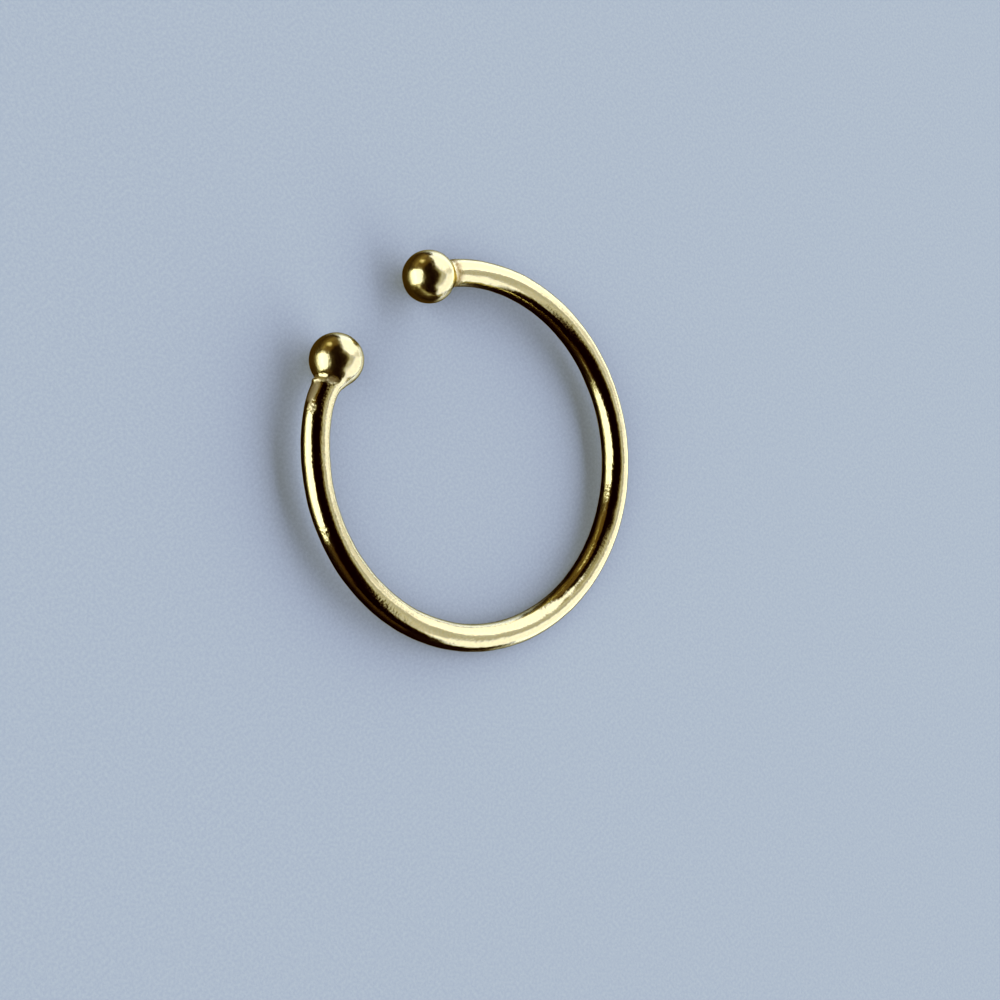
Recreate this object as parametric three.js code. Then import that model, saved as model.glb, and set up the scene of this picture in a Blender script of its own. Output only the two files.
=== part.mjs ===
// An ear cuff: an open hoop of round wire with a ball soldered on each end, one piece of polished metal.
// It clips over the rim of the ear through the gap between the balls, so it needs no piercing.
// It lies on its side, touching the surface with both balls and with the wire across from the gap.
// Millimetres, +Z up. The hoop's centre is over the origin, and the gap faces -Y.

import * as THREE from "three";

// Driving dimensions
const WIRE_DIAMETER = 1.0;
const INNER_DIAMETER = 12.2;
const BALL_DIAMETER = 1.92;
const BALL_SPREAD_DEGREES = 45.6; // between the two ball centres, seen from the hoop's centre
const SOLDER_FILLET_RADIUS = 0.4; // in the neck where a ball meets the wire

// How finely the round surface is faceted
const SECTION_SIDES = 28; // a multiple of 4, so that the underside has a flat facet
const BALL_SECTIONS = 11; // from a ball's tip to its neck
const NECK_SECTIONS = 5; // along a fillet
const WIRE_SECTIONS = 84; // from neck to neck

const GOLD = { color: 0xf0cf86, metalness: 1.0, roughness: 0.16 };

// Worked out from the dimensions above
const wireRadius = WIRE_DIAMETER / 2;
const ballRadius = BALL_DIAMETER / 2;
const hoopRadius = INNER_DIAMETER / 2 + wireRadius; // to the middle of the wire
const ballAngle = THREE.MathUtils.degToRad(BALL_SPREAD_DEGREES / 2); // from the middle of the gap

// A fillet is an arc that touches the ball at neckStart and the wire at neckEnd.
// Both are distances from the ball's centre along the wire.
const filletReach = ballRadius + SOLDER_FILLET_RADIUS;
const filletHeight = wireRadius + SOLDER_FILLET_RADIUS;
const neckEnd = Math.sqrt(filletReach ** 2 - filletHeight ** 2);
const neckStart = (neckEnd * ballRadius) / filletReach;

// The tilt at which both balls and the far side of the wire touch the surface,
// and the height of the hoop's centre above it then.
const restTilt = Math.asin((ballRadius - wireRadius) / (hoopRadius * (1 + Math.cos(ballAngle))));
const centreHeight = wireRadius + hoopRadius * Math.sin(restTilt);

// Every section is a circle, in an upright plane through the hoop's axis. It has
//   turn:        its angle round the hoop, from the middle of the gap
//   centre:      how far its middle is from the hoop's centre
//   radius:      its own radius

function ballSection(along) {
  return {
    turn: ballAngle + Math.asin(along / hoopRadius),
    centre: Math.sqrt(hoopRadius ** 2 - along ** 2),
    radius: Math.sqrt(ballRadius ** 2 - along ** 2),
  };
}

function neckSection(along) {
  const share = THREE.MathUtils.smoothstep(along, neckStart, neckEnd);
  const ball = ballSection(along);
  return {
    turn: ball.turn,
    centre: THREE.MathUtils.lerp(ball.centre, hoopRadius, share),
    radius: filletHeight - Math.sqrt(SOLDER_FILLET_RADIUS ** 2 - (neckEnd - along) ** 2),
  };
}

function wireSection(turn) {
  return { turn, centre: hoopRadius, radius: wireRadius };
}

// The sections of one end, from the one next to the ball's tip to the one before the plain wire.
function endSections() {
  const sections = [];
  const neckPolarAngle = Math.acos(-neckStart / ballRadius);
  for (let i = 1; i <= BALL_SECTIONS; i++) {
    const polarAngle = (neckPolarAngle * i) / BALL_SECTIONS;
    sections.push(ballSection(-ballRadius * Math.cos(polarAngle)));
  }
  for (let i = 1; i < NECK_SECTIONS; i++) {
    const share = i / NECK_SECTIONS;
    sections.push(neckSection(THREE.MathUtils.lerp(neckStart, neckEnd, share)));
  }
  return sections;
}

function hoopSections() {
  const firstEnd = endSections();
  const lastEnd = firstEnd.map((s) => ({ ...s, turn: 2 * Math.PI - s.turn })).reverse();
  const wireStart = ballAngle + Math.asin(neckEnd / hoopRadius);
  const wireTurn = 2 * Math.PI - 2 * wireStart;
  const wire = [];
  for (let i = 0; i <= WIRE_SECTIONS; i++) {
    wire.push(wireSection(wireStart + (wireTurn * i) / WIRE_SECTIONS));
  }
  return [...firstEnd, ...wire, ...lastEnd];
}

// A point of the hoop lying flat, with its gap towards -Y.
// turn runs anticlockwise seen from above, and out is measured from the hoop's centre.
function hoopPoint(turn, out, up) {
  return [out * Math.sin(turn), -out * Math.cos(turn), up];
}

// A ball's tip, where the sections shrink to a point.
function tipPoint(side) {
  const turn = ballAngle - Math.asin(ballRadius / hoopRadius);
  return hoopPoint(side * turn, Math.sqrt(hoopRadius ** 2 - ballRadius ** 2), 0);
}

// One closed skin through all the sections, with a fan of triangles at each tip.
function loftHoop(sections) {
  const positions = [...tipPoint(1)];
  for (const { turn, centre, radius } of sections) {
    for (let side = 0; side < SECTION_SIDES; side++) {
      const angle = ((side + 0.5) * 2 * Math.PI) / SECTION_SIDES;
      const out = centre + radius * Math.cos(angle);
      positions.push(...hoopPoint(turn, out, radius * Math.sin(angle)));
    }
  }
  positions.push(...tipPoint(-1));

  const corner = (section, side) => 1 + section * SECTION_SIDES + (side % SECTION_SIDES);
  const lastSection = sections.length - 1;
  const lastTip = positions.length / 3 - 1;
  const triangles = [];
  for (let side = 0; side < SECTION_SIDES; side++) {
    triangles.push(0, corner(0, side), corner(0, side + 1));
    for (let section = 0; section < lastSection; section++) {
      const here = corner(section, side);
      const beside = corner(section, side + 1);
      const ahead = corner(section + 1, side);
      const across = corner(section + 1, side + 1);
      triangles.push(here, ahead, across, here, across, beside);
    }
    triangles.push(lastTip, corner(lastSection, side + 1), corner(lastSection, side));
  }

  const geometry = new THREE.BufferGeometry();
  geometry.setAttribute("position", new THREE.Float32BufferAttribute(positions, 3));
  geometry.setIndex(triangles);
  geometry.computeVertexNormals();
  return geometry;
}

const hoop = new THREE.Mesh(loftHoop(hoopSections()), new THREE.MeshStandardMaterial(GOLD));
hoop.name = "ball_end_hoop";
hoop.rotation.x = -restTilt;
hoop.position.z = centreHeight;

const earCuff = new THREE.Group();
earCuff.add(hoop);

export default earCuff;
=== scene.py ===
# A gold-coloured ear cuff lying on a pale floor: an open hoop of round wire with a ball soldered on each end.
# The mesh follows the CAD solid's own formula on a much finer grid, and adds what shows close up:
# the uneven solder at the necks, worn spots on the wire, and the slight waves of polished metal.
# Lengths are in millimetres until a mesh or the camera is made. The floor's width and the lights' distance
# and size are in metres.

import math
from typing import NamedTuple

import bpy
import numpy as np
from mathutils import Matrix, Vector


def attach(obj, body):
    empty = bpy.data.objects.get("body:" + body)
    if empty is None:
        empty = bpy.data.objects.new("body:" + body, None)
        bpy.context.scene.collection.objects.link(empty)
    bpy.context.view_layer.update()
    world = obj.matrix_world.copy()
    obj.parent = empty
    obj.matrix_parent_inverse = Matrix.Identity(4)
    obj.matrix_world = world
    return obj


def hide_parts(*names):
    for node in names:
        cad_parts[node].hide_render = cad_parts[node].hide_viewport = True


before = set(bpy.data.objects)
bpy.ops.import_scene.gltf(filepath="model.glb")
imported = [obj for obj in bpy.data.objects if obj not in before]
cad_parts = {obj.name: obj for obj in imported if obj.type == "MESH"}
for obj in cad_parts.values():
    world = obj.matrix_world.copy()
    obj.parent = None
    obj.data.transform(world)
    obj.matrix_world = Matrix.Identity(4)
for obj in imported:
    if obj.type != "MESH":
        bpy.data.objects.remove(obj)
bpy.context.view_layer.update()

MM = 0.001
NODE = "ball_end_hoop"

# The CAD part's dimensions
WIRE_RADIUS = 0.5
HOOP_RADIUS = 6.6
BALL_RADIUS = 0.96
BALL_ANGLE = math.radians(22.8)
WIRE_LENGTH = (2 * math.pi - 2 * BALL_ANGLE) * HOOP_RADIUS  # from one ball's centre to the other's
REST_TILT = math.asin((BALL_RADIUS - WIRE_RADIUS) / (HOOP_RADIUS * (1 + math.cos(BALL_ANGLE))))
CENTRE_HEIGHT = WIRE_RADIUS + HOOP_RADIUS * math.sin(REST_TILT)

# The two ends of the wire. The first is at +X, and on the left in the photo.
FIRST = 1
LAST = -1

# Each end has its own soldering: how far the ball sits inside the wire's circle, and the fillet
# radius on the outer and the inner side of the hoop.
ENDS = {
    FIRST: {"inset": 0.10, "outer_fillet": 0.10, "inner_fillet": 1.2},
    LAST: {"inset": 0.02, "outer_fillet": 0.20, "inner_fillet": 0.6},
}

# Distances past a ball's centre between which one thing turns into another
BALL_TO_WIRE = (0.6, 1.1)  # the middle of the sections, from the ball's to the wire's
INSET_TO_NONE = (0.7, 1.9)  # the wire, from level with its ball to its own circle
SATIN_TO_BRIGHT = (0.6, 1.0)  # the finish

# How finely the mesh is divided
SIDES = 80
BALL_SECTIONS = 44
BALL_SHARE = 0.72  # of the half circle round a ball, from its tip, where sections are at even angles
NECK_STEP = 0.02  # between sections from there on
NECK_REACH = 2.4  # past the ball's centre, where the sections of the plain wire start
WIRE_SECTIONS = 920

# Random waves are sums of this many plane waves, and their wavelengths are divided by shares in this range.
WAVE_COUNT = 40
WAVE_SPREAD = (0.7, 1.4)

# The angles round the wire, from the middle of a ring's strong side, between which that side fades out
SIDE_FADE = (math.radians(36), math.radians(84))

# Colours
GOLD = (0.93, 0.87, 0.59, 1)
WARM_GOLD = (0.92, 0.82, 0.49, 1)
GRAZING_GOLD = (0.75, 0.66, 0.40, 1)
TARNISH = (0.42, 0.30, 0.16, 1)
BARE_METAL = (0.76, 0.68, 0.56, 1)
FLOOR = (0.284, 0.338, 0.418, 1)
FLOOR_SPECK = (0.325, 0.383, 0.468, 1)
TABLE = (0.005, 0.0025, 0.0008, 1)
# The reflected table's colour near the balls, with the balls' warm light on it painted in
TABLE_PAINTED_BALL_LIGHT = (0.05, 0.036, 0.009, 1)
ROOM = (0.0025, 0.0007, 0.0002, 1)
BACKDROP = (0.55, 0.6, 0.66, 1)

# How often the gold's noises change in a millimetre along the wire, across it and upwards
RIPPLE_PER_MM = (8.0, 1.6, 1.6)
PATCHES_PER_MM = (0.9, 1.1, 1.1)
DRAWING_PER_MM = (0.35, 16.0, 16.0)
GRAIN_PER_MM = (13.0, 13.0, 13.0)
CRUST_PER_MM = (9.0, 9.0, 9.0)

# Values of a noise between which something goes from none to full
PATCHES = (-0.15, 0.2)
WARM_GRAIN = (-0.25, 0.35)
DULL_GRAIN = (-0.2, 0.3)
TARNISHED_CRUST = (-0.35, 0.1)
WORN_CRUST = (-0.3, 0.0)
FLOOR_SPECKS = (-0.2, 0.25)

# Heights of the gold's bumps for a noise of 1, and what rough patches, satin or pitting add to them
RIPPLE_HEIGHT = 0.0018
RIPPLE_IN_PATCH = 0.0026
DRAWING_HEIGHT = 0.0006
GRAIN_HEIGHT = 0.0034
GRAIN_IN_PATCH = 0.0050
GRAIN_ON_BALL = -0.003
CRUST_WHERE_PITTED = 0.035

# Roughness of the plain gold, and what its grain and each finish add to it
GOLD_ROUGHNESS = 0.10
ROUGHNESS_OF_GRAIN = 0.06
ROUGHNESS_OF_FINISH = {"pitted": 0.12, "tarnish": 0.28, "worn": 0.40, "satin": 0.08}

# The floor, and the table that the metal reflects in its place
FLOOR_HALF_WIDTH = 1.6  # in metres
FLOOR_GRAINS_PER_MM = 9.0
FLOOR_GRAIN_HEIGHT = 0.008
FLOOR_ROUGHNESS = 0.6
FLOOR_SPECULAR = 0.03
TABLE_ROUGHNESS = 0.19
TABLE_IOR = 1.6
# How far the painted warm light of the balls reaches on the reflected table
PAINTED_BALL_LIGHT_REACH = (3.4, 1.0)  # from a ball's centre, where its warm light on the table starts and is full

# The camera, from the hoop's outline in the photo. Its angles are in degrees, and its heading turns
# anticlockwise from +X.
CAMERA_HEADING = 149.28
CAMERA_ELEVATION = 55.16
CAMERA_ROLL = 81.82
CAMERA_DISTANCE = 84.46
CAMERA_AIM = (-0.348, 2.255, 0.0)
CAMERA_LENS = 82.8
SENSOR_WIDTH = 36.0
NEAREST_SEEN = 1.0

# How far the lamps are from the hoop, in metres. For an upright one it is the level distance.
LIGHT_DISTANCE = 1.0
WATTS_PER_SQUARE_METRE = 4.0  # of a lamp of brightness 1

# Tone curves of the developed picture, as (scene, picture) pairs: warm shadows and cream highlights
GREEN = 1
BLUE = 2
TONES = {
    GREEN: [(0.034, 0.026), (0.235, 0.231), (1.0, 1.0)],
    BLUE: [(0.022, 0.009), (0.152, 0.125), (0.38, 0.395), (0.6, 0.60), (1.0, 0.73)],
}
BLACK_LEVEL = (0.0, 0.002, 0.001)


def smoothstep(low, high, x):
    share = np.clip((x - low) / (high - low), 0, 1)
    return share * share * (3 - 2 * share)


def waves(points, height, wavelength, seed):
    """Smooth random waves through space, about height high, of roughly one wavelength (given per axis)."""
    rng = np.random.default_rng(seed)
    heading = rng.normal(size=(WAVE_COUNT, 3))
    heading /= np.linalg.norm(heading, axis=1, keepdims=True)
    pitch = 2 * math.pi * rng.uniform(*WAVE_SPREAD, size=(WAVE_COUNT, 1)) / np.array(wavelength)
    phase = rng.uniform(0, 2 * math.pi, size=WAVE_COUNT)
    summed = np.zeros(points.shape[:-1])
    for step, start in zip(heading * pitch, phase):
        summed += np.cos(points @ step + start)
    return height * summed * math.sqrt(2 / WAVE_COUNT)


# The mesh is a grid of sections by sides. Each point also has a place on the straightened wire:
# how far along it is from the first ball's centre, then how far outwards and upwards from the wire's middle.


def section_turns(inset):
    """The turn of each section of one end, from the ball's tip to where the neck is surely over."""
    ball_circle = HOOP_RADIUS - inset
    polar = np.linspace(0, BALL_SHARE * math.pi, BALL_SECTIONS + 1)[1:]
    ball = np.arcsin(-BALL_RADIUS * np.cos(polar) / ball_circle)
    step = NECK_STEP / HOOP_RADIUS
    neck = np.arange(ball[-1] + step, NECK_REACH / HOOP_RADIUS, step)
    return BALL_ANGLE + np.concatenate([ball, neck])


def profile(angle_past, inset, fillet):
    """Centre distance and radius of the sections at the given angles past a ball's centre."""
    ball_circle = HOOP_RADIUS - inset
    angle_past = np.minimum(angle_past, math.pi / 2)
    along = ball_circle * np.sin(angle_past)
    reach = BALL_RADIUS + fillet
    height = WIRE_RADIUS + fillet
    neck_end = np.sqrt(reach**2 - height**2)
    neck_start = neck_end * BALL_RADIUS / reach
    ball = np.sqrt(np.clip(BALL_RADIUS**2 - along**2, 0, None))
    neck = height - np.sqrt(np.clip(fillet**2 - (neck_end - along) ** 2, 0, None))
    radius = np.where(along < neck_start, ball, np.where(along < neck_end, neck, WIRE_RADIUS))
    ball_centre = ball_circle * np.cos(angle_past)
    wire_centre = HOOP_RADIUS - inset * (1 - smoothstep(*INSET_TO_NONE, along))
    share = smoothstep(*BALL_TO_WIRE, along)
    return ball_centre + (wire_centre - ball_centre) * share, radius


def hoop_grid():
    """The smooth hoop as a grid of points, and the same points on the straightened wire."""
    first = section_turns(ENDS[FIRST]["inset"])
    last = 2 * math.pi - section_turns(ENDS[LAST]["inset"])[::-1]
    wire = np.linspace(first[-1], last[0], WIRE_SECTIONS + 2)[1:-1]
    turn = np.concatenate([first, wire, last])[:, None]
    around = (np.arange(SIDES) * 2 * math.pi / SIDES)[None, :]
    outward = 0.5 + 0.5 * np.cos(around)
    profiles = {}
    for side, end in ENDS.items():
        turn_from_gap = turn if side == FIRST else 2 * math.pi - turn
        fillet = end["inner_fillet"] + (end["outer_fillet"] - end["inner_fillet"]) * outward
        profiles[side] = profile(turn_from_gap - BALL_ANGLE, end["inset"], fillet)
    in_first_half = turn < math.pi
    centre, radius = (np.where(in_first_half, *values) for values in zip(profiles[FIRST], profiles[LAST]))
    out = centre + radius * np.cos(around)
    up = radius * np.sin(around)
    points = np.stack([out * np.sin(turn), -out * np.cos(turn), up], axis=-1)
    along = np.broadcast_to((turn - BALL_ANGLE) * HOOP_RADIUS, up.shape)
    straight = np.stack([along, radius * np.cos(around), up], axis=-1)
    return points, straight


def grid_normals(points):
    """Outward normals of the grid."""
    step = np.gradient(points, axis=0)
    turn = np.roll(points, -1, axis=1) - np.roll(points, 1, axis=1)
    normal = np.cross(turn, step)
    return normal / np.maximum(np.linalg.norm(normal, axis=-1, keepdims=True), 1e-12)


def past_centre(straight, end):
    """How far each point is past the centre of one end's ball, along the wire."""
    return straight[..., 0] if end == FIRST else WIRE_LENGTH - straight[..., 0]


def off_angle(straight, around):
    """How far each point is, in radians, from an angle round the wire in degrees. 0 is outwards and 90 up."""
    angle = np.arctan2(straight[..., 2], straight[..., 1]) - math.radians(around)
    return np.abs((angle + math.pi) % (2 * math.pi) - math.pi)


def on_ball(straight):
    """1 on the balls and 0 on the wire."""
    past = np.minimum(past_centre(straight, FIRST), past_centre(straight, LAST))
    return 1 - smoothstep(*SATIN_TO_BRIGHT, past)


# Marks on the metal. Each has a place, past the ball's centre and around the wire in degrees, a size and
# a strength, and its cover is 1 in its middle and 0 away from it.


class Ring(NamedTuple):
    """A ring of solder at one end of the wire, weaker elsewhere than on the side that it faces."""

    end: int
    past: float
    width: float
    strength: float
    around: float = 0.0
    elsewhere: float = 1.0

    def cover(self, straight):
        ring = np.exp(-(((past_centre(straight, self.end) - self.past) / self.width) ** 2))
        facing = 1 - smoothstep(*SIDE_FADE, off_angle(straight, self.around))
        return ring * (self.elsewhere + (1 - self.elsewhere) * facing)


class Dab(NamedTuple):
    """A round mark near the first ball. Its edge is soft, as wide as the given share of its radius."""

    past: float
    around: float
    radius: float
    strength: float
    edge: float = 1.0

    def cover(self, straight):
        metal_radius = math.sqrt(max(BALL_RADIUS**2 - self.past**2, WIRE_RADIUS**2))
        along = past_centre(straight, FIRST) - self.past
        across = straight[..., 1] - metal_radius * math.cos(math.radians(self.around))
        up = straight[..., 2] - metal_radius * math.sin(math.radians(self.around))
        distance = np.sqrt(along**2 + across**2 + up**2) / self.radius
        return 1 - smoothstep(1 - self.edge / 2, 1 + self.edge / 2, distance)


class Nick(NamedTuple):
    """A soft dent near the first ball, of its own length along the wire and width across it."""

    past: float
    around: float
    length: float
    width: float
    strength: float

    def cover(self, straight):
        along = past_centre(straight, FIRST) - self.past
        across = off_angle(straight, self.around) * WIRE_RADIUS
        return np.exp(-((along / self.length) ** 2) - (across / self.width) ** 2)


# Where the metal is rough with solder or wear
PITTED = [
    Ring(FIRST, past=0.93, width=0.13, strength=1.0, around=40, elsewhere=0.15),
    Ring(LAST, past=0.98, width=0.10, strength=0.25),
    Dab(past=1.98, around=33, radius=0.20, strength=0.7),
    Dab(past=6.05, around=27, radius=0.20, strength=0.8),
]

# Where the plating is worn to pale grey-brown metal
WORN = [
    Dab(past=1.24, around=18, radius=0.19, strength=0.9),
    Dab(past=1.42, around=14, radius=0.19, strength=0.9),
    Dab(past=1.62, around=12, radius=0.19, strength=0.9),
    Dab(past=1.98, around=30, radius=0.18, strength=0.5),
    Ring(FIRST, past=0.95, width=0.10, strength=0.7, around=25, elsewhere=0.0),
]

# Where the metal is dull and brown
TARNISHED = [
    Dab(past=0.86, around=74, radius=0.13, strength=0.8, edge=0.6),
    Dab(past=0.83, around=88, radius=0.11, strength=0.8, edge=0.6),
    Ring(LAST, past=1.02, width=0.15, strength=0.95),
]

# Where the metal stands out or, below 0, lies deeper. Here the strength is a height.
RAISED = [
    Ring(FIRST, past=0.99, width=0.06, strength=-0.03, around=0, elsewhere=0.0),
    Dab(past=0.86, around=74, radius=0.14, strength=0.03),
    Dab(past=0.83, around=90, radius=0.12, strength=0.03),
    Nick(past=1.04, around=-4, length=0.07, width=0.16, strength=-0.05),
]


def total(marks, straight):
    """The strengths of all the marks at each point, added up."""
    return sum(mark.strength * mark.cover(straight) for mark in marks)


def amount(marks, straight):
    """How strongly a list of marks covers each point, 0 to 1."""
    return np.clip(total(marks, straight), 0, 1)


def relief(points, straight):
    """How far each point of the real surface stands off the smooth one."""
    slow = waves(straight, height=0.0022, wavelength=(2.2, 1.0, 1.0), seed=3)
    lumps = waves(points, height=0.0018, wavelength=(0.7, 0.7, 0.7), seed=5)
    dents = waves(points, height=0.0009, wavelength=(0.3, 0.3, 0.3), seed=6)
    crust = waves(points, height=0.006, wavelength=(0.15, 0.15, 0.15), seed=7)
    uneven = slow + lumps + dents * on_ball(straight) + crust * amount(PITTED, straight)
    return uneven + total(RAISED, straight)


def tip_points():
    """The balls' tips, where the sections shrink to a point."""
    tips = []
    for side, end in ENDS.items():
        ball_circle = HOOP_RADIUS - end["inset"]
        turn = BALL_ANGLE - math.asin(BALL_RADIUS / ball_circle)
        out = math.sqrt(ball_circle**2 - BALL_RADIUS**2)
        tips.append([side * out * math.sin(turn), -out * math.cos(turn), 0.0])
    return np.array(tips)


def hoop_faces(sections):
    """Squares between the grid's points, and a fan of triangles at each tip. The tips are numbered last."""
    ring = np.arange(sections * SIDES).reshape(sections, SIDES)
    beside = np.roll(ring, -1, axis=1)
    squares = np.stack([ring[:-1], ring[1:], beside[1:], beside[:-1]], axis=-1).reshape(-1, 4)
    first_tip = sections * SIDES
    last_tip = first_tip + 1
    faces = [tuple(square) for square in squares.tolist()]
    faces += [(first_tip, int(a), int(b)) for a, b in zip(ring[0], beside[0])]
    faces += [(last_tip, int(b), int(a)) for a, b in zip(ring[-1], beside[-1])]
    return faces


def build_hoop():
    points, straight = hoop_grid()
    points = points + grid_normals(points) * relief(points, straight)[..., None]
    all_points = np.concatenate([points.reshape(-1, 3), tip_points()])
    lean = Matrix.Rotation(-REST_TILT, 3, "X")
    placed = all_points @ np.array(lean).T + np.array([0, 0, CENTRE_HEIGHT])
    placed[:, 2] -= placed[:, 2].min()
    mesh = bpy.data.meshes.new("polished_hoop")
    mesh.from_pydata((placed * MM).tolist(), [], hoop_faces(len(points)))
    mesh.polygons.foreach_set("use_smooth", np.ones(len(mesh.polygons), dtype=bool))

    tips_straight = np.array([[-BALL_RADIUS, 0, 0], [WIRE_LENGTH + BALL_RADIUS, 0, 0]])
    all_straight = np.concatenate([straight.reshape(-1, 3), tips_straight])
    layer = mesh.attributes.new("wire_space", "FLOAT_VECTOR", "POINT")
    layer.data.foreach_set("vector", all_straight.astype(np.float32).ravel())
    finishes = {
        "pitted": amount(PITTED, all_straight),
        "tarnish": amount(TARNISHED, all_straight),
        "worn": amount(WORN, all_straight),
        "satin": on_ball(all_straight),
    }
    for name, values in finishes.items():
        layer = mesh.attributes.new(name, "FLOAT", "POINT")
        layer.data.foreach_set("value", values.astype(np.float32))
    mesh.update()
    hoop = bpy.data.objects.new("polished_hoop", mesh)
    bpy.context.scene.collection.objects.link(hoop)
    return hoop


class Nodes:
    """Adds nodes to a node tree and joins them up."""

    def __init__(self, tree):
        self.tree = tree

    def add(self, kind, settings=None, **inputs):
        node = self.tree.nodes.new(kind)
        for name, value in (settings or {}).items():
            setattr(node, name, value)
        for name, value in inputs.items():
            self.put(node.inputs[name.replace("_", " ")], value)
        return node

    def put(self, socket, value):
        if isinstance(value, bpy.types.NodeSocket):
            self.tree.links.new(value, socket)
        else:
            socket.default_value = value

    def math(self, operation, a, b=0.0, c=0.0):
        node = self.add("ShaderNodeMath", {"operation": operation})
        for socket, value in zip(node.inputs, (a, b, c)):
            self.put(socket, value)
        return node.outputs[0]

    def vector_math(self, operation, vector, other):
        node = self.add("ShaderNodeVectorMath", {"operation": operation})
        self.put(node.inputs[0], vector)
        node.inputs[1].default_value = other
        return node.outputs

    def attribute(self, name):
        return self.add("ShaderNodeAttribute", {"attribute_name": name}).outputs

    def noise(self, place, per_unit, detail=1.0, roughness=0.5):
        """Noise about 0, mostly between -0.3 and 0.3, that changes so many times in a unit of each axis."""
        scaled = self.vector_math("MULTIPLY", place, per_unit)["Vector"]
        node = self.add("ShaderNodeTexNoise", Vector=scaled, Scale=1.0, Detail=detail, Roughness=roughness)
        return self.math("SUBTRACT", node.outputs["Fac"], 0.5)

    def ramp(self, value, low, high):
        node = self.add("ShaderNodeMapRange", {"interpolation_type": "SMOOTHSTEP"}, Value=value)
        node.inputs["From Min"].default_value = low
        node.inputs["From Max"].default_value = high
        return node.outputs["Result"]

    def mix(self, share, a, b):
        """A mix of two colours. Its sockets go by number, because the node has others of the same names."""
        node = self.add("ShaderNodeMix", {"data_type": "RGBA"})
        self.put(node.inputs[0], share)
        self.put(node.inputs[6], a)
        self.put(node.inputs[7], b)
        return node.outputs[2]


def new_material(name):
    material = bpy.data.materials.new(name)
    material.use_nodes = True
    tree = material.node_tree
    shader = next(n for n in tree.nodes if n.type == "BSDF_PRINCIPLED")
    return material, Nodes(tree), shader


def gold_height(nodes, finish, ripple, patches, drawing, grain, crust):
    """The height of the gold's bumps: ripples, drawing marks along the wire, grain, and crusts of solder."""
    ripple_height = nodes.math("MULTIPLY_ADD", patches, RIPPLE_IN_PATCH, RIPPLE_HEIGHT)
    grain_height = nodes.math("MULTIPLY_ADD", patches, GRAIN_IN_PATCH, GRAIN_HEIGHT)
    grain_height = nodes.math("MULTIPLY_ADD", finish["satin"], GRAIN_ON_BALL, grain_height)
    crust_height = nodes.math("MULTIPLY", finish["pitted"], CRUST_WHERE_PITTED)
    height = nodes.math("MULTIPLY", ripple, ripple_height)
    height = nodes.math("ADD", height, nodes.math("MULTIPLY", drawing, DRAWING_HEIGHT))
    height = nodes.math("ADD", height, nodes.math("MULTIPLY", grain, grain_height))
    return nodes.math("ADD", height, nodes.math("MULTIPLY", crust, crust_height))


def gold_material():
    material, nodes, shader = new_material("polished_gold")
    wire_space = nodes.attribute("wire_space")["Vector"]
    finish = {name: nodes.attribute(name)["Fac"] for name in ROUGHNESS_OF_FINISH}
    ripple = nodes.noise(wire_space, RIPPLE_PER_MM, detail=1.5)
    patches = nodes.ramp(nodes.noise(wire_space, PATCHES_PER_MM), *PATCHES)
    drawing = nodes.noise(wire_space, DRAWING_PER_MM, detail=2.0)
    grain = nodes.noise(wire_space, GRAIN_PER_MM, detail=2.0)
    crust = nodes.noise(wire_space, CRUST_PER_MM, detail=3.0, roughness=0.6)

    colour = nodes.mix(nodes.ramp(grain, *WARM_GRAIN), GOLD, WARM_GOLD)
    tarnished = nodes.math("MULTIPLY", finish["tarnish"], nodes.ramp(crust, *TARNISHED_CRUST))
    colour = nodes.mix(tarnished, colour, TARNISH)
    worn = nodes.math("MULTIPLY", finish["worn"], nodes.ramp(crust, *WORN_CRUST))
    colour = nodes.mix(worn, colour, BARE_METAL)
    rough = nodes.math("MULTIPLY_ADD", nodes.ramp(grain, *DULL_GRAIN), ROUGHNESS_OF_GRAIN, GOLD_ROUGHNESS)
    for name, added in ROUGHNESS_OF_FINISH.items():
        rough = nodes.math("ADD", rough, nodes.math("MULTIPLY", finish[name], added))
    height = gold_height(nodes, finish, ripple, patches, drawing, grain, crust)
    bump = nodes.add("ShaderNodeBump", Height=height, Strength=1.0, Distance=MM)

    nodes.put(shader.inputs["Base Color"], colour)
    nodes.put(shader.inputs["Roughness"], rough)
    shader.inputs["Metallic"].default_value = 1.0
    shader.inputs["Specular Tint"].default_value = GRAZING_GOLD
    nodes.put(shader.inputs["Normal"], bump.outputs["Normal"])
    return material


def floor_grain(nodes, place):
    """A fine grain on the floor, and its bumps."""
    grains_per_metre = FLOOR_GRAINS_PER_MM / MM
    grain = nodes.noise(place, (grains_per_metre,) * 3, detail=3.0, roughness=0.6)
    bump = nodes.add("ShaderNodeBump", Height=grain, Strength=1.0, Distance=FLOOR_GRAIN_HEIGHT * MM)
    return grain, bump.outputs["Normal"]


def pale_floor_material():
    material, nodes, shader = new_material("pale_floor")
    grain, normal = floor_grain(nodes, nodes.add("ShaderNodeTexCoord").outputs["Object"])
    nodes.put(shader.inputs["Base Color"], nodes.mix(nodes.ramp(grain, *FLOOR_SPECKS), FLOOR, FLOOR_SPECK))
    nodes.put(shader.inputs["Normal"], normal)
    shader.inputs["Roughness"].default_value = FLOOR_ROUGHNESS
    shader.inputs["Specular IOR Level"].default_value = FLOOR_SPECULAR
    return material


def painted_ball_light(nodes, place):
    """1 on the table under the balls, where the warm light that they throw on it is painted into its colour,
    and 0 away from them.
    """
    share = 0.0
    start, full = (reach * MM for reach in PAINTED_BALL_LIGHT_REACH)
    for side in ENDS:
        centre = Vector((side * math.sin(BALL_ANGLE), -math.cos(BALL_ANGLE), 0)) * HOOP_RADIUS * MM
        distance = nodes.vector_math("DISTANCE", place, centre)["Value"]
        share = nodes.math("ADD", nodes.ramp(distance, start, full), share)
    return nodes.math("MINIMUM", share, 1.0)


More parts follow.
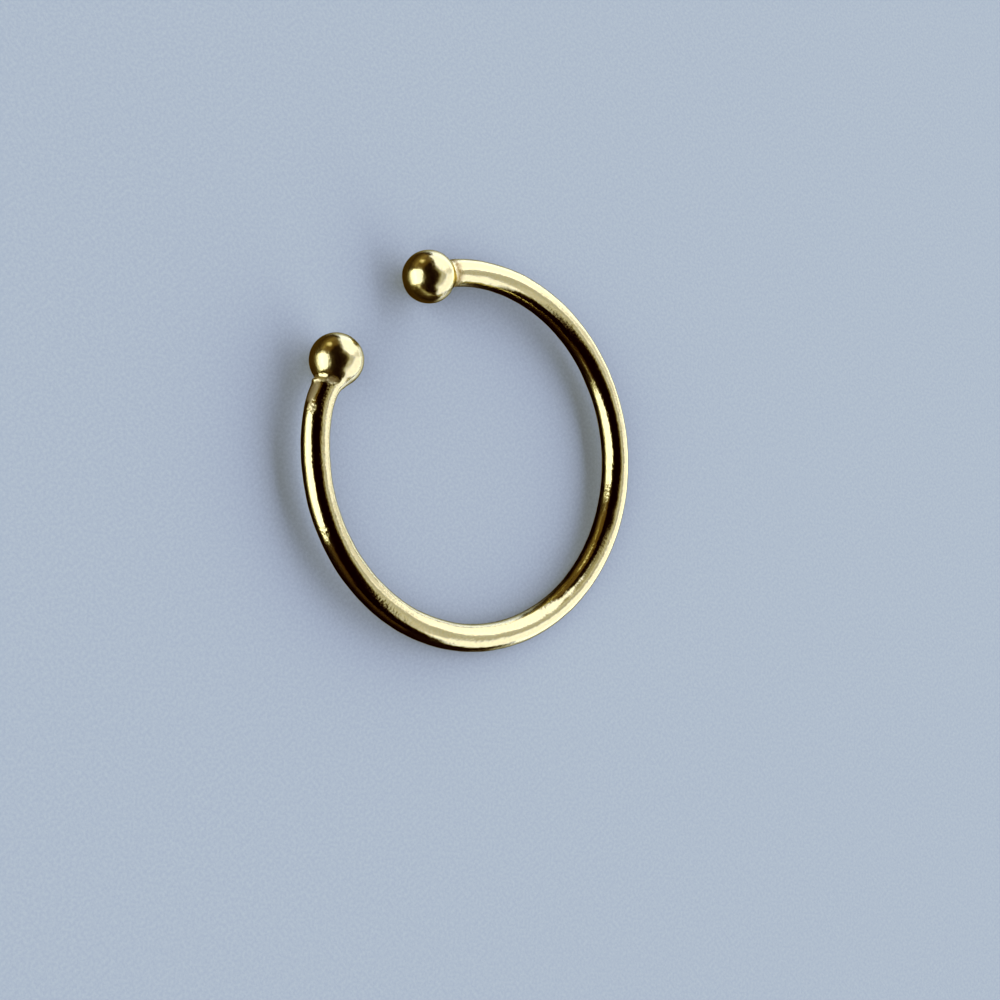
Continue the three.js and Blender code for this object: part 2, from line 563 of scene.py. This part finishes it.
def glossy_table_material():
    material, nodes, shader = new_material("glossy_table")
    place = nodes.add("ShaderNodeTexCoord").outputs["Object"]
    normal = floor_grain(nodes, place)[1]
    # Painted warm light from the balls, mixed into the reflected table's colour
    nodes.put(shader.inputs["Base Color"], nodes.mix(painted_ball_light(nodes, place), TABLE, TABLE_PAINTED_BALL_LIGHT))
    nodes.put(shader.inputs["Normal"], normal)
    shader.inputs["Roughness"].default_value = TABLE_ROUGHNESS
    shader.inputs["IOR"].default_value = TABLE_IOR
    return material


def make_plane(name, material):
    half = FLOOR_HALF_WIDTH
    corners = [(-half, -half, 0), (half, -half, 0), (half, half, 0), (-half, half, 0)]
    mesh = bpy.data.meshes.new(name)
    mesh.from_pydata(corners, [], [(0, 1, 2, 3)])
    mesh.materials.append(material)
    plane = bpy.data.objects.new(name, mesh)
    plane.visible_shadow = False
    bpy.context.scene.collection.objects.link(plane)
    return plane


def make_floor():
    """The plain pale floor, which the metal doesn't reflect."""
    floor = make_plane("floor", pale_floor_material())
    floor.visible_glossy = False
    return floor


def make_table():
    """What the metal reflects in the floor's place: a darker and glossier table, as the one it lay on."""
    table = make_plane("reflected_table", glossy_table_material())
    table.visible_camera = False
    table.visible_diffuse = False
    return table


def area_light(name, place, facing, width, height, brightness, colour, shape):
    """A soft lamp. Its power grows with its size, so that its size doesn't change how bright it looks."""
    light = bpy.data.lights.new(name, "AREA")
    light.shape = shape
    light.size = width
    light.size_y = height
    light.energy = WATTS_PER_SQUARE_METRE * width * height * brightness
    light.color = colour
    lamp = bpy.data.objects.new(name, light)
    lamp.location = place
    lamp.rotation_mode = "QUATERNION"
    lamp.rotation_quaternion = facing.to_track_quat("-Z", "Y")
    lamp.visible_camera = False
    bpy.context.scene.collection.objects.link(lamp)
    return lamp


def level(azimuth):
    """The level direction at an azimuth from the camera's heading, in degrees anticlockwise."""
    heading = math.radians(CAMERA_HEADING + azimuth)
    return Vector((math.cos(heading), math.sin(heading), 0))


def size_seen(degrees):
    """The size of something that the hoop sees so many degrees wide."""
    return 2 * LIGHT_DISTANCE * math.tan(math.radians(degrees) / 2)


def window(name, left, right, bottom, top, brightness, colour, shape="RECTANGLE"):
    """An upright soft light that the hoop sees between two azimuths and two elevations, in degrees."""
    low = math.tan(math.radians(bottom))
    high = math.tan(math.radians(top))
    towards = level((left + right) / 2)
    place = LIGHT_DISTANCE * (towards + Vector((0, 0, (low + high) / 2)))
    height = LIGHT_DISTANCE * (high - low)
    return area_light(name, place, -towards, size_seen(left - right), height, brightness, colour, shape)


def overhead(name, azimuth, elevation, across, upwards, brightness, colour):
    """A high soft light that faces the hoop, and that it sees so many degrees across and upwards."""
    rise = math.radians(elevation)
    towards = level(azimuth) * math.cos(rise) + Vector((0, 0, math.sin(rise)))
    place = LIGHT_DISTANCE * towards
    return area_light(
        name, place, -towards, size_seen(across), size_seen(upwards), brightness, colour, "RECTANGLE"
    )


def light_only(lit, lamps):
    """Limits some lights to one object, so that the metal and the floor each have their own."""
    group = bpy.data.collections.new(lit.name + "_lit")
    group.objects.link(lit)
    for lamp in lamps:
        lamp.light_linking.receiver_collection = group


# In these lists a window has a left and right azimuth, a bottom and top elevation, a brightness and a colour.
# An overhead light has an azimuth, an elevation, its angles across and upwards, a brightness and a colour.


def light_metal(hoop):
    """What shows in the metal: two windows far off, one behind the camera, and dim things at the side."""
    lamps = [
        window("window_left", 78, 18, -1, 59, 1.05, (1.0, 1.0, 0.97)),
        window("window_right", 2, -75, 1, 45, 0.88, (1.0, 1.0, 0.97)),
        window("window_frame", 18, 2, 2, 46, 0.60, (1.0, 0.98, 0.88)),
        overhead("upper_glow", -29, 56, 84, 20, 0.36, (1.0, 0.98, 0.88)),
        overhead("upper_glow_left", 44, 66, 40, 14, 0.17, (1.0, 0.95, 0.76)),
        overhead("ceiling_glow", -4, 68, 120, 14, 0.10, (1.0, 0.90, 0.56)),
        window("window_behind", 208, 148, -17, 30, 1.25, (1.0, 0.98, 0.80), "ELLIPSE"),
        window("small_lamp", 118, 106, 0, 13, 0.7, (1.0, 0.88, 0.5)),
        window("side_wall", 148, 80, 0, 30, 0.08, (1.0, 0.72, 0.30)),
        window("side_wall_right", -128, -150, 0, 16, 0.03, (1.0, 0.68, 0.36)),
    ]
    light_only(hoop, lamps)


def light_table(table):
    """The same windows as the table sees them, bright enough for their glare on it to show in the metal."""
    lamps = [
        window("table_window_left", 64, 4, 0, 50, 5.6, (0.74, 0.82, 1.0)),
        window("table_window_right", 4, -50, 2, 42, 5.4, (0.80, 0.86, 1.0)),
        window("table_window_behind", 207, 150, -3, 34, 7.6, (1.0, 0.97, 0.70)),
        window("table_side_wall", 140, 80, 0, 30, 0.36, (1.0, 0.78, 0.34)),
        window("table_side_wall_right", -96, -150, 0, 24, 0.06, (1.0, 0.74, 0.36)),
    ]
    light_only(table, lamps)


def light_floor(floor):
    """Plain soft light on the floor from the same two sides, mostly from the far one."""
    lamps = [
        window("floor_light_far", 70, -70, 4, 60, 3.2, (1.0, 1.0, 1.0)),
        window("floor_light_near", 214, 140, 4, 60, 2.4, (1.0, 0.99, 0.96)),
    ]
    light_only(floor, lamps)


def make_world():
    """A dim warm room all round, which the camera sees as a plain pale backdrop."""
    world = bpy.data.worlds.new("studio")
    bpy.context.scene.world = world
    world.use_nodes = True
    nodes = Nodes(world.node_tree)
    room = nodes.add("ShaderNodeBackground", Color=ROOM, Strength=1.0)
    backdrop = nodes.add("ShaderNodeBackground", Color=BACKDROP, Strength=1.0)
    both = nodes.add("ShaderNodeMixShader")
    nodes.put(both.inputs[0], nodes.add("ShaderNodeLightPath").outputs["Is Camera Ray"])
    nodes.put(both.inputs[1], room.outputs[0])
    nodes.put(both.inputs[2], backdrop.outputs[0])
    nodes.put(world.node_tree.nodes["World Output"].inputs["Surface"], both.outputs[0])


def make_camera():
    heading = math.radians(CAMERA_HEADING)
    drop = math.radians(CAMERA_ELEVATION)
    level_share = math.cos(drop)
    forward = Vector((math.cos(heading) * level_share, math.sin(heading) * level_share, -math.sin(drop)))
    camera = bpy.data.objects.new("camera", bpy.data.cameras.new("camera"))
    camera.data.lens = CAMERA_LENS
    camera.data.sensor_width = SENSOR_WIDTH
    camera.data.clip_start = NEAREST_SEEN * MM
    camera.location = (Vector(CAMERA_AIM) - forward * CAMERA_DISTANCE) * MM
    upright = forward.to_track_quat("-Z", "Y").to_matrix()
    camera.rotation_euler = (upright @ Matrix.Rotation(math.radians(CAMERA_ROLL), 3, "Z")).to_euler()
    bpy.context.scene.collection.objects.link(camera)
    bpy.context.scene.camera = camera


def develop():
    """A plain view transform with the tone curves, as the photo's camera had curves of its own."""
    view = bpy.context.scene.view_settings
    view.view_transform = "Standard"
    view.use_curve_mapping = True
    tones = view.curve_mapping
    tones.initialize()
    for channel, points in TONES.items():
        curve = tones.curves[channel]
        curve.points[-1].location = points[-1]
        for point in points[:-1]:
            curve.points.new(*point)
    tones.black_level = BLACK_LEVEL
    tones.update()


hoop = build_hoop()
hoop.data.materials.append(gold_material())
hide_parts(NODE)
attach(hoop, "root")
floor = make_floor()
table = make_table()
light_metal(hoop)
light_table(table)
light_floor(floor)
make_world()
make_camera()
develop()
